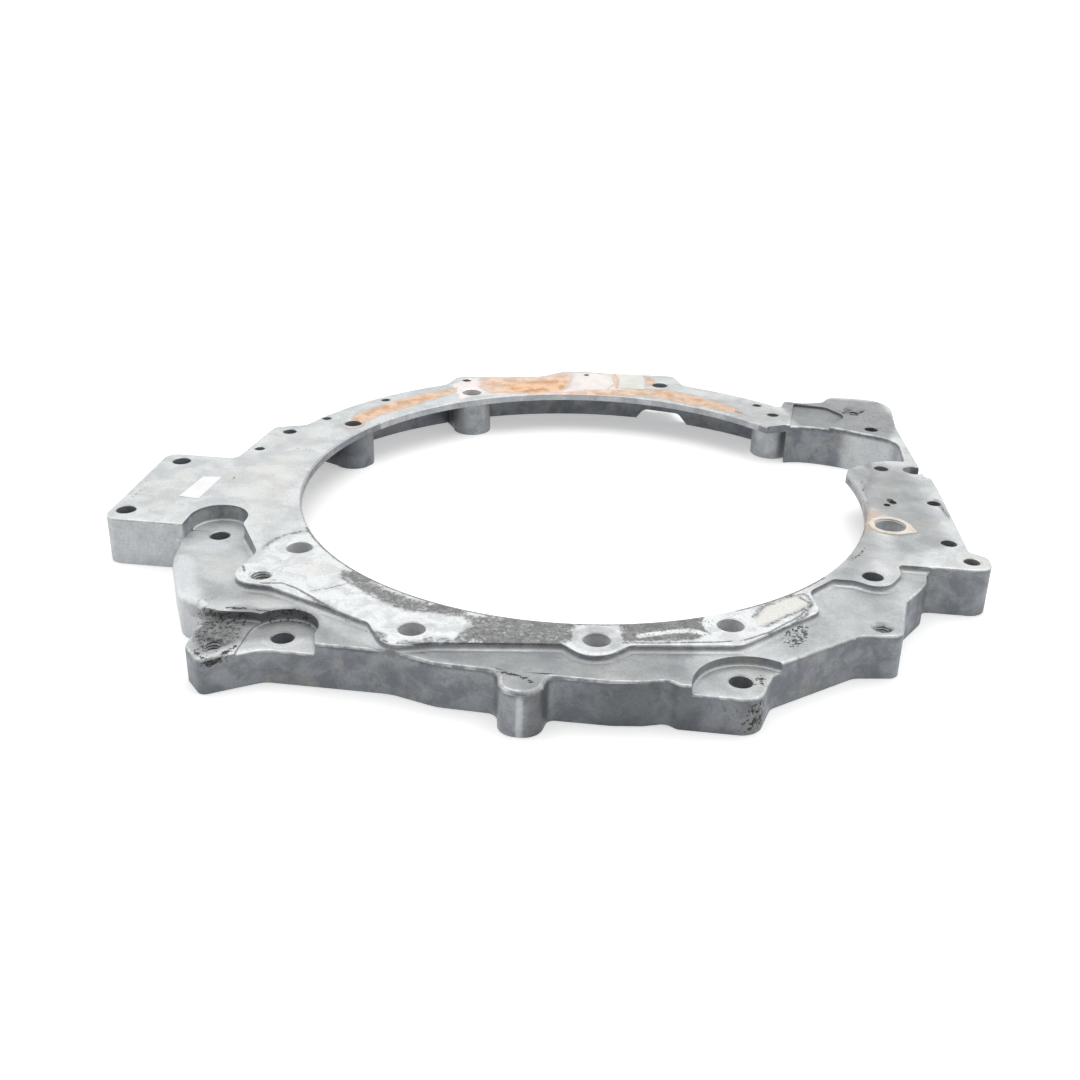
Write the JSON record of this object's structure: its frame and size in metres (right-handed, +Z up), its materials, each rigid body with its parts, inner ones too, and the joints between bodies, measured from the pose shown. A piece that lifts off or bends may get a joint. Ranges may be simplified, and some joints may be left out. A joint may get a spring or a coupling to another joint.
{
  "type": "transmission adapter plate",
  "caption": "Cast aluminium adapter plate that joins an engine block to a gearbox: ring flange with a large round opening, stepped apron, square side pad and hollow ribbed underside.",
  "frame": {"origin": "centre of the round opening, on the upper joint face", "axes": "+Z up along the axis of the opening, out of the upper joint face; +X towards the side with the dowel bore, away from the square pad; +Y towards the starter side's far edge"},
  "size_m": [0.4853, 0.4395, 0.0275],
  "materials": {
    "cast_aluminium": "blasted casting with machined faces"
  },
  "bodies": {
    "root": {"adapter_plate": "cast_aluminium"}
  },
  "joints": []
}
